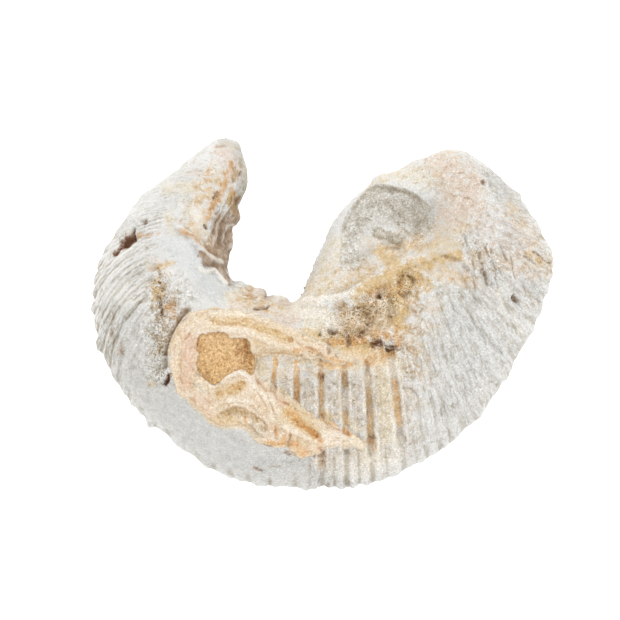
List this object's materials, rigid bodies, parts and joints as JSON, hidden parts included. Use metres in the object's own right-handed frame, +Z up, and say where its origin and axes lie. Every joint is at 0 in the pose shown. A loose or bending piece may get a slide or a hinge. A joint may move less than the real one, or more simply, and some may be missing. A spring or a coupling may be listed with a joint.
{
  "type": "fossil oyster shell",
  "caption": "Crescent-shaped fossil oyster with zigzag ribs, a smooth scoop at its broad end and a smaller oyster cemented across its back.",
  "frame": {"origin": "on the resting plane, under the middle of the bounding box", "axes": "+Z up with the small oyster on top, +X across the crescent from the pointed beak's limb to the broad growing end, +Y towards the open side of the bend"},
  "size_m": [0.085, 0.0648, 0.0301],
  "materials": {
    "chalky_shell": "matt, chalky, weathered",
    "stained_shell": "matt, iron stained",
    "sandstone": "rough, sandy"
  },
  "bodies": {
    "root": {"coxcomb_oyster": "chalky_shell", "small_oyster": "stained_shell", "sand_filling": "sandstone"}
  },
  "joints": []
}
